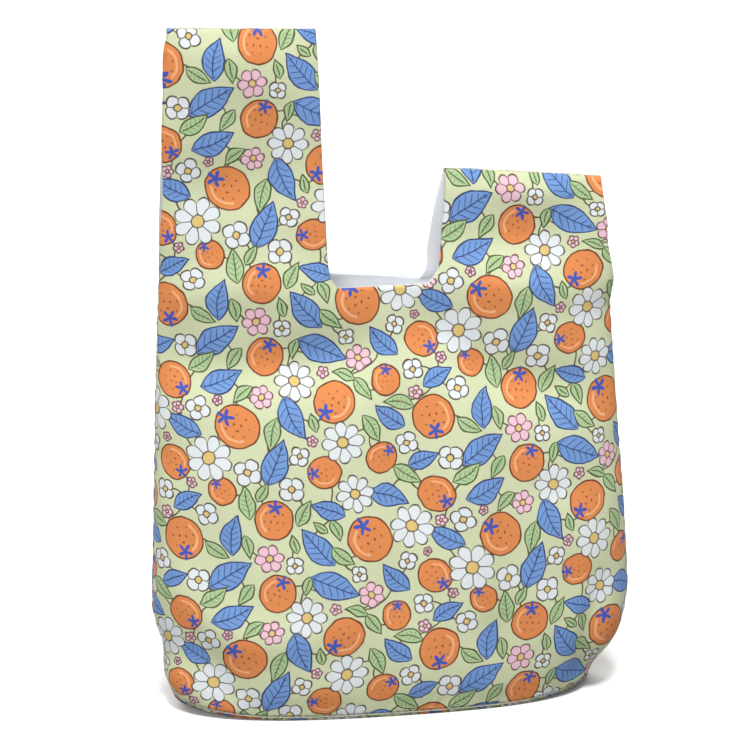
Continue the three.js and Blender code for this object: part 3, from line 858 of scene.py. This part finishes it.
# The whole print: a stem from each fruit and flower to the nearest leaf, then the motifs over them
def buildPrint():
    tree, given, made = startGroup("orchardPrint", {"Position": "place"}, {"Colour": "colour"})
    vector = partial(doVector, tree)
    noise = noiseAt(tree, given["Position"], printDesign["wobbleScale"])["Color"]
    unsteady = vector("SCALE", vector("SUBTRACT", noise, (0.5, 0.5, 0.5)), printDesign["wobble"] * 2)
    position = vector("ADD", given["Position"], unsteady)
    groups = {"leaf": buildLeafMotif(), "flower": buildFlowerMotif(), "fruit": buildFruitMotif()}
    stemGroup = buildStemMotif()
    motifs = arrangeMotifs()
    colour = paint(printDesign["ground"])
    random = np.random.default_rng(printDesign["seed"] + 1)

    def placed(motif, under):
        return {"Position": position, "Under": under, "Centre": vector3(motif["place"])}

    def turned(motif, under, squash=1.0):
        heading = motif["heading"]
        across = np.array([-heading[1], heading[0]]) * squash
        return {**placed(motif, under), "Along": vector3(heading), "Across": vector3(across)}

    for motif in motifs:
        if motif["kind"] in ("greenLeaf", "bud"):
            continue
        joined = ("greenLeaf",) if motif["kind"] == "blueLeaf" else ("blueLeaf", "greenLeaf")
        ends = np.array([other["place"] for other in motifs if other["kind"] in joined])
        reach = min(toNearestCopy(ends - motif["place"]), key=np.linalg.norm)
        length = np.hypot(*reach)
        stem = {"place": motif["place"] + reach / 2, "heading": reach / length}
        bow = float(length * random.uniform(*printDesign["stemBow"]))
        values = {"Half length": float(length / 2), "Bow": bow, "Ink": paint(printDesign["stemColour"])}
        colour = useGroup(tree, stemGroup, {**turned(stem, colour), **values})["Colour"]
    for motif in motifs:
        look, size = printDesign["kinds"][motif["kind"]], motif["size"]
        values = {"Fill": paint(look["fill"]), "Ink": paint(look["inkColour"])}
        if "slim" in look:
            group, place = groups["leaf"], turned(motif, colour)
            values.update({"Half length": size, "Half width": size * look["slim"]})
            values["Vein gap"] = size * leafDrawing["veinGap"]
            values["Bend"] = size * random.uniform(-leafDrawing["bend"], leafDrawing["bend"])
        elif "petals" in look:
            group, place = groups["flower"], placed(motif, colour)
            values.update({"Petals": float(look["petals"]), "Turn": random.uniform(0, pi), "Radius": size})
            values.update({"Notch": flowerDrawing["notch"], "Heart": size * flowerDrawing["heart"]})
            values["Heart colour"] = paint(look["heart"])
        else:
            group, place = groups["fruit"], turned(motif, colour, fruitDrawing["squash"])
            values.update({"Radius": size, "Gleam": paint(printDesign["gleam"])})
            values["Calyx"] = paint(printDesign["calyx"])
        colour = useGroup(tree, group, {**place, **values})["Colour"]
    tree.links.new(colour, made["Colour"])
    return tree


# A plain weave: the height of its crossing threads, and the painted shade in the gaps between them
weaveLook = {
    "wanderScale": 0.35, "wander": 0.35,  # how unevenly the threads run
    "crossing": 0.4,  # how far a thread stands up where it passes over another
    "shadeFrom": 0.62, "shadeRange": 0.5,
    "threadGloss": 0.08,  # how much smoother a thread's crown is
    "bumpStrength": 0.5, "specular": 0.25, "sheenRoughness": 0.5,
}


def buildWeave():
    inputs = {"Position": "place", "Thread pitch": "number"}
    tree, given, made = startGroup("plainWeave", inputs, {"Height": "number", "Shade": "number"})
    calc, vector = mathIn(tree)
    noise = noiseAt(tree, given["Position"], weaveLook["wanderScale"], detail=1.0)["Color"]
    uneven = vector("SCALE", noise, weaveLook["wander"])
    parts = splitXYZ(tree, vector("ADD", given["Position"], uneven))
    turn = calc("DIVIDE", pi, given["Thread pitch"])
    warp, weft = (calc("SINE", calc("MULTIPLY", parts[axis], turn)) for axis in ("X", "Y"))
    over = calc("MULTIPLY", warp, weft)
    threads = calc("ADD", calc("ABSOLUTE", warp), calc("ABSOLUTE", weft))
    height = calc("MULTIPLY_ADD", over, weaveLook["crossing"], calc("MULTIPLY", threads, 0.5))
    tree.links.new(height, made["Height"])
    # painted shade: the colour is darker where the threads sink between crossings
    shade = calc("MULTIPLY_ADD", height, weaveLook["shadeRange"], weaveLook["shadeFrom"])
    tree.links.new(shade, made["Shade"])
    return tree


# Slow unevenness of dye and wear, around 1
unevenScale = 0.035


def buildUneven():
    inputs = {"Position": "place", "Amount": "number"}
    tree, given, made = startGroup("unevenDye", inputs, {"Shade": "number"})
    calc = partial(doMath, tree)
    slow = noiseAt(tree, given["Position"], unevenScale, detail=3.0)["Fac"]
    around = calc("MULTIPLY", calc("SUBTRACT", slow, 0.5), given["Amount"])
    tree.links.new(calc("ADD", around, 1.0), made["Shade"])
    return tree


# The shade that gathers in a sewn seam, darker where each stitch pulls
seamLook = {"pitch": 4.4, "evenShade": 0.7, "pulledShade": 0.3}


def buildSeamShadow():
    inputs = {"Position": "place", "Nearness": "number", "Depth": "number", "Stitch pitch": "number"}
    tree, given, made = startGroup("seamShadow", inputs, {"Shade": "number"})
    calc, vector = mathIn(tree)
    along = calc("DIVIDE", vector("DOT_PRODUCT", given["Position"], (1, 1, 0)), given["Stitch pitch"])
    pull = calc("SINE", calc("MULTIPLY", along, tau))
    dots = calc("MULTIPLY_ADD", pull, seamLook["pulledShade"], seamLook["evenShade"])
    dark = calc("MULTIPLY", calc("MULTIPLY", given["Nearness"], given["Depth"]), dots)
    tree.links.new(calc("SUBTRACT", 1.0, dark), made["Shade"])
    return tree


weaveGroup, unevenGroup, seamGroup = buildWeave(), buildUneven(), buildSeamShadow()


def clothPosition(tree):  # the place on the cut cloth, in millimetres
    place = addNode(tree, "ShaderNodeUVMap", {}, uv_map="cloth")
    return doVector(tree, "SCALE", place.outputs["UV"], 1 / metresPerMm)


def startMaterial(name):
    material = bpy.data.materials.new(name)
    material.use_nodes = True
    tree = material.node_tree
    return material, tree, tree.nodes["Principled BSDF"]


def addBump(tree, surface, height, strength, distance):
    relief = addNode(tree, "ShaderNodeBump", {"Strength": strength, "Distance": distance, "Height": height})
    tree.links.new(relief.outputs["Normal"], surface.inputs["Normal"])


clothLooks = {  # lengths in millimetres
    "printed_cotton": {
        "name": "printedCotton", "pitch": 0.62, "bump": 0.12, "roughness": 0.86, "sheen": 0.06,
        "unevenness": 0.1, "seamDepth": 0.7,
    },
    "lining_cotton": {
        "name": "liningCotton", "colour": "f7fbff", "pitch": 0.5, "bump": 0.09, "roughness": 0.88,
        "sheen": 0.05, "unevenness": 0.08, "seamDepth": 0.2,
    },
    "interlining_felt": {
        "name": "interliningFelt", "colour": "f0eee6", "pitch": 1.7, "bump": 0.3, "roughness": 0.95,
        "sheen": 0.1, "unevenness": 0.2, "seamDepth": 0.2,
    },
}


# A woven cloth: its colour dimmed between the threads as painted shade, a fine bump, and roughness that
# follows the weave
def weaveCloth(look, printGroup):
    material, tree, surface = startMaterial(look["name"])
    calc, vector = mathIn(tree)
    position = clothPosition(tree)
    weave = useGroup(tree, weaveGroup, {"Position": position, "Thread pitch": look["pitch"]})
    uneven = useGroup(tree, unevenGroup, {"Position": position, "Amount": look["unevenness"]})
    nearness = addNode(tree, "ShaderNodeAttribute", {}, attribute_name="seamShade")
    seam = useGroup(tree, seamGroup, {
        "Position": position, "Nearness": nearness.outputs["Fac"], "Depth": look["seamDepth"],
        "Stitch pitch": seamLook["pitch"],
    })
    # painted shade of the weave's gaps and of the seams, times the dye's random unevenness
    shade = calc("MULTIPLY", calc("MULTIPLY", weave["Shade"], uneven["Shade"]), seam["Shade"])
    if "colour" in look:
        colour = tree.nodes.new("ShaderNodeRGB").outputs[0]
        colour.default_value = paint(look["colour"])
    else:
        colour = useGroup(tree, printGroup, {"Position": position})["Colour"]
    feedAll(tree, surface, {
        "Base Color": vector("SCALE", colour, shade),
        "Roughness": calc("MULTIPLY_ADD", weave["Height"], -weaveLook["threadGloss"], look["roughness"]),
        "Specular IOR Level": weaveLook["specular"],
        "Sheen Weight": look["sheen"],
        "Sheen Roughness": weaveLook["sheenRoughness"],
    })
    addBump(tree, surface, weave["Height"], weaveLook["bumpStrength"], look["bump"] * metresPerMm)
    return material


printGroup = buildPrint()
slotMaterials = {slot: weaveCloth(look, printGroup) for slot, look in clothLooks.items()}
print("materials:", len(printGroup.nodes), "nodes in the print")


def dropLines(cloth, name):  # the hidden interlining stops short of every turned edge
    if cloth != "interlining":
        return slice(None), slice(None)
    edge, outer = len(clothMesh["edgeSteps"]) - 2, len(clothMesh["seamSteps"]) - 3
    return {
        "wall": (slice(None, -edge), slice(None)),
        "longHandle": (slice(None), slice(outer, -edge)),
        "shortHandle": (slice(None), slice(edge, -outer)),
    }[name]


backOffset = np.array([90, 0])  # the back is cut from another part of the print
for layout in layouts.values():
    side = layout["side"]
    for cloth, layer in clothLayers.items():
        outer, inner = clothFace(layout, cloth, True), clothFace(layout, cloth, False)
        outerNormals, innerNormals = gridNormals(side, outer), gridNormals(side, inner)
        for name, reach in layout["reach"].items():
            flat = layout["flat"][name] * np.array([-side["y"], 1]) + (backOffset if side is back else 0)
            keep = dropLines(cloth, name)
            shade = seamShade(np.minimum(reach["seam"], reach["bottom"]))[keep]
            grids = [grid[name][keep] for grid in (outer, inner, outerNormals, innerNormals)]
            label = cloth if name == "wall" else name + cloth.capitalize()
            material = slotMaterials[layer["slot"]]
            piece = makeCloth(label + side["name"], *grids, flat[keep], shade, side is back, material)
            if name == "wall":
                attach(piece, "bag")
                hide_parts(f"{cloth}_{side['node']}")
            else:
                node = handleNamed[name]["node"]
                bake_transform(piece)
                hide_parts(f"{node}_{cloth}_{side['node']}_bend", f"{node}_{cloth}_{side['node']}")
print("cloths made")

# The base's three cloths lie on each other, with their ends curled up
baseForm = {"seamHeight": 2.0, "leastHalfDepth": 0.4, "printOffset": np.array([0, 60])}
baseCloths = {
    "shell": {"low": 0.0, "high": 0.8, "roll": 0.7},
    "interlining": {"low": 1.1, "high": 2.1, "roll": 0},
    "lining": {"low": 2.4, "high": 3.0, "roll": 0},
}
for cloth, lay in baseCloths.items():
    inset = bagForm["wallThickness"] - clothLayers[cloth]["outer"]
    across, away = oval(columnT)
    share = np.sin(np.linspace(-pi / 2, pi / 2, clothMesh["baseLines"]))[:, None]
    level = baseForm["seamHeight"]
    halfDepth = np.maximum(baseForm["leastHalfDepth"], (float(halfDepthAt(level)) - inset) * away)
    x = (halfWidthAt(level + 0 * columnT, columnT) - inset) * across + 0 * share
    y = share * halfDepth
    toEdge = (1 - np.abs(share)) * halfDepth
    lift = rolled(toEdge, lay["roll"]) if lay["roll"] else 0 * x
    outer = np.stack([x, y, curled(x, lay["low"] + lift)], axis=-1)
    inner = np.stack([x, y, curled(x, lay["high"] + 0 * x)], axis=-1)
    normals = [gridNormals(back, {"wall": grid}, wallOnly=True)["wall"] for grid in (outer, inner)]
    slot = clothLayers[cloth]["slot"]
    flat = np.stack([x, y], axis=-1) - baseForm["printOffset"]
    shade, material = seamShade(toEdge), slotMaterials[slot]
    piece = makeCloth(cloth + "Base", outer, inner, *normals, flat, shade, True, material)
    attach(piece, "bag")
    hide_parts(cloth + "_base")
print("base made")

# Sewing thread, in metres: a row of small arched stitches along a path
stitchLook = {
    "Pitch": 0.0032, "Filled": 0.8, "Thread": 0.00022, "Arch": 0.00035, "Seed": 3,  # the tree's own inputs
    "sides": 6, "steps": 7, "sizes": (0.85, 1.1),
    "baseRow": 1.5, "baseInset": 0.5,  # the base seam's height and how far in it lies, in millimetres
    "colour": "e4e2c4", "plyScale": 900, "plyShade": (0.7, 0.35), "bumpStrength": 0.4, "bump": 0.0001,
    "roughness": 0.7,
}


def buildStitchTree(material):
    tree = bpy.data.node_groups.new("stitchRow", "GeometryNodeTree")
    kinds = {"Geometry": "NodeSocketGeometry", "Seed": "NodeSocketInt"}
    for label in ("Geometry", "Pitch", "Filled", "Thread", "Arch", "Seed"):
        kind = kinds.get(label, "NodeSocketFloat")
        tree.interface.new_socket(label, in_out="INPUT", socket_type=kind)
    tree.interface.new_socket("Geometry", in_out="OUTPUT", socket_type=kinds["Geometry"])
    given, made = tree.nodes.new("NodeGroupInput").outputs, tree.nodes.new("NodeGroupOutput").inputs
    make, calc = partial(addNode, tree), partial(doMath, tree)
    path = make("GeometryNodeMeshToCurve", {"Mesh": given["Geometry"]}).outputs["Curve"]
    spaced = make("GeometryNodeResampleCurve", {"Curve": path, "Length": given["Pitch"]}, mode="LENGTH")
    half = calc("MULTIPLY", calc("MULTIPLY", given["Pitch"], given["Filled"]), 0.5)
    arch = make("GeometryNodeCurveQuadraticBezier", {
        "Resolution": stitchLook["steps"],
        "Start": joinedXYZ(tree, calc("MULTIPLY", half, -1.0), 0.0, 0.0),
        "Middle": joinedXYZ(tree, 0.0, 0.0, given["Arch"]),
        "End": joinedXYZ(tree, half, 0.0, 0.0),
    })
    ring = make("GeometryNodeCurvePrimitiveCircle", {
        "Resolution": stitchLook["sides"], "Radius": given["Thread"],
    })
    stitch = make("GeometryNodeCurveToMesh", {
        "Curve": arch.outputs["Curve"], "Profile Curve": ring.outputs["Curve"], "Fill Caps": True,
    })
    tangent = make("GeometryNodeInputTangent", {}).outputs[0]
    outward = make("GeometryNodeInputNamedAttribute", {"Name": "outward"}, data_type="FLOAT_VECTOR")
    turned = make("FunctionNodeAlignRotationToVector", {"Vector": tangent}, axis="X")
    upright = make("FunctionNodeAlignRotationToVector", {
        "Rotation": turned.outputs[0], "Vector": outward.outputs["Attribute"],
    }, axis="Z", pivot_axis="X")
    least, most = stitchLook["sizes"]
    varied = make("FunctionNodeRandomValue", {2: least, 3: most, "Seed": given["Seed"]})
    placed = make("GeometryNodeInstanceOnPoints", {
        "Points": spaced.outputs["Curve"], "Instance": stitch.outputs["Mesh"],
        "Rotation": upright.outputs[0], "Scale": varied.outputs[1],
    })
    real = make("GeometryNodeRealizeInstances", {"Geometry": placed.outputs["Instances"]})
    dressed = make("GeometryNodeSetMaterial", {"Geometry": real.outputs["Geometry"], "Material": material})
    tree.links.new(dressed.outputs["Geometry"], made["Geometry"])
    return tree


def buildThreadMaterial():
    look = stitchLook
    material, tree, surface = startMaterial("sewingThread")
    calc, vector = mathIn(tree)
    place = addNode(tree, "ShaderNodeTexCoord", {}).outputs["Object"]
    waves = {"Vector": place, "Scale": look["plyScale"]}
    twist = addNode(tree, "ShaderNodeTexWave", waves, bands_direction="DIAGONAL").outputs["Fac"]
    least, more = look["plyShade"]
    # painted shade: the colour is darkened in the grooves between the twisted plies
    colour = vector("SCALE", paint(look["colour"])[:3], calc("MULTIPLY_ADD", twist, more, least))
    feedAll(tree, surface, {"Base Color": colour, "Roughness": look["roughness"]})
    addBump(tree, surface, twist, look["bumpStrength"], look["bump"])
    return material


slotMaterials["sewing_thread"] = buildThreadMaterial()
stitchTree = buildStitchTree(slotMaterials["sewing_thread"])


def makeStitches(name, places, outward, closed=False):  # places in the bag's millimetres
    points = (np.asarray(places) - np.array([bagForm["bellyShift"], 0, 0])) * metresPerMm
    count = len(points)
    edges = [(i, (i + 1) % count) for i in range(count if closed else count - 1)]
    mesh = bpy.data.meshes.new(name + "Path")
    mesh.from_pydata(points.tolist(), edges, [])
    facing = mesh.attributes.new("outward", "FLOAT_VECTOR", "POINT")
    facing.data.foreach_set("vector", np.asarray(outward, np.float32).ravel())
    path = addToScene(name + "Path", mesh)
    rows = path.modifiers.new("stitches", "NODES")
    rows.node_group = stitchTree
    for socket in stitchTree.interface.items_tree:
        if socket.in_out == "INPUT" and socket.name in stitchLook:
            rows[socket.identifier] = stitchLook[socket.name]
    graph = bpy.context.evaluated_depsgraph_get()
    made = bpy.data.meshes.new_from_object(path.evaluated_get(graph), depsgraph=graph)
    bpy.data.objects.remove(path)
    made.polygons.foreach_set("use_smooth", np.ones(len(made.polygons), bool))
    piece = addToScene(name, made)
    return piece


shellFaces = {name: clothFace(layout, "shell", True) for name, layout in layouts.items()}
for handle, column in ((longHandle, 0), (shortHandle, -1)):
    wall = shellFaces["Front"]["wall"][:, column]
    sewn = wall[wall[:, 2] < bagForm["mouthHeight"] + handle["seamEnd"]] * np.array([1, 0, 1])
    outward = np.tile([handle["side"], 0, 0], (len(sewn), 1))
    side = "Left" if handle["side"] < 0 else "Right"
    seam = makeStitches("sideSeam" + side, sewn, outward)
    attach(seam, "bag")
    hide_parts("side_seam_" + side.lower())
    top = shellFaces["Front"][handle["name"]][-1] * np.array([1, 0, 1])
    seam = makeStitches(handle["name"] + "TopSeam", top, np.tile([0, 0, 1], (len(top), 1)))
    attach(seam, handle["node"])
    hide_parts(handle["node"] + "_top_seam")

level, out = stitchLook["baseRow"] + 0 * columnT, bagForm["wallThickness"] - stitchLook["baseInset"]
ring = [wallPoints(side, columnT, level, out) for side in sides]
ring = np.concatenate([ring[0][:-1], ring[1][:0:-1]])
facing = np.roll(ring, -1, axis=0) - np.roll(ring, 1, axis=0)
facing = np.stack([facing[:, 1], -facing[:, 0], 0 * facing[:, 0]], axis=1)
facing /= np.linalg.norm(facing, axis=1, keepdims=True)
seam = makeStitches("baseSeam", ring, facing, closed=True)
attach(seam, "bag")
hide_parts("base_seam")
print("seams sewn")

# The photograph's view: a long lens from a little left and above
cameraPlace = {
    "azimuth": -10, "elevation": 17, "distance": 2.2, "lens": 200, "sensor": 36,
    "aim": (0, 0, 0.185), "right": -0.0087, "up": -0.0065, "farthest": 20,
}
azimuth, elevation = radians(cameraPlace["azimuth"]), radians(cameraPlace["elevation"])
towards = Vector((-sin(azimuth) * cos(elevation), cos(azimuth) * cos(elevation), -sin(elevation)))
rightward = towards.cross(Vector((0, 0, 1))).normalized()
upward = rightward.cross(towards)
camera = addToScene("camera", bpy.data.cameras.new("camera"))
camera.data.lens, camera.data.sensor_width = cameraPlace["lens"], cameraPlace["sensor"]
camera.data.clip_end = cameraPlace["farthest"]
camera.location = (
    Vector(cameraPlace["aim"]) + rightward * cameraPlace["right"] + upward * cameraPlace["up"]
    - towards * cameraPlace["distance"]
)
camera.rotation_mode = "QUATERNION"
camera.rotation_quaternion = towards.to_track_quat("-Z", "Y")
bpy.context.scene.camera = camera

# A pale floor and plain soft light: an even sky, a wide sun high in front, a weaker lamp low on the left that
# lights the lining, and one behind
studio = {
    "floorSize": 6, "floorColour": "f4f4f2", "floorRoughness": 0.9, "floorLevel": -0.0002,
    "floorReturn": 0.24,  # how much light the floor sends back up at the object
    "skyStrength": 0.2,
    "sunFrom": (-0.04, -0.36, 0.93), "sunStrength": 3.1, "sunSoftness": 15,
    "fillFrom": (-0.32, -0.85, 0.42), "fillStrength": 1.3, "fillSoftness": 30,
    "rearFrom": (-0.3, 0.8, 0.6), "rearStrength": 2.0, "rearSoftness": 40,
}


def seenDirectly(tree):  # 1 for rays from the camera, and for those that gloss and glass send out
    rays = tree.nodes.new("ShaderNodeLightPath").outputs
    glossy = doMath(tree, "MAXIMUM", rays["Is Glossy Ray"], rays["Is Transmission Ray"])
    return doMath(tree, "MAXIMUM", rays["Is Camera Ray"], glossy)


world = bpy.data.worlds.new("studioSky")
bpy.context.scene.world = world
world.use_nodes = True
sky = world.node_tree
light, white = sky.nodes["Background"], (1, 1, 1, 1)
feedAll(sky, light, {"Strength": studio["skyStrength"], "Color": white})
backdrop = addNode(sky, "ShaderNodeBackground", {"Color": white})
chosen = addNode(sky, "ShaderNodeMixShader", {
    0: seenDirectly(sky), 1: light.outputs[0], 2: backdrop.outputs[0],
})
sky.links.new(chosen.outputs[0], sky.nodes["World Output"].inputs["Surface"])

floorMaterial, tree, surface = startMaterial("paleFloor")
returned = [studio["floorReturn"]] * 3 + [1]
floorSeen = overlay(tree, returned, paint(studio["floorColour"]), seenDirectly(tree))
feedAll(tree, surface, {"Base Color": floorSeen, "Roughness": studio["floorRoughness"]})
half = studio["floorSize"] / 2
floorMesh = bpy.data.meshes.new("floor")
floorCorners = [(-half, -half, 0), (half, -half, 0), (half, half, 0), (-half, half, 0)]
floorMesh.from_pydata(floorCorners, [], [(0, 1, 2, 3)])
floorMesh.materials.append(floorMaterial)
floor = addToScene("floor", floorMesh)
floor.location.z = studio["floorLevel"]

for name in ("sun", "fill", "rear"):
    lamp = addToScene(name, bpy.data.lights.new(name, "SUN"))
    lamp.data.energy, lamp.data.angle = studio[name + "Strength"], radians(studio[name + "Softness"])
    lamp.rotation_mode = "QUATERNION"
    lamp.rotation_quaternion = (-Vector(studio[name + "From"])).to_track_quat("-Z", "Y")

bpy.context.scene.view_settings.view_transform = "Standard"
print("studio set")
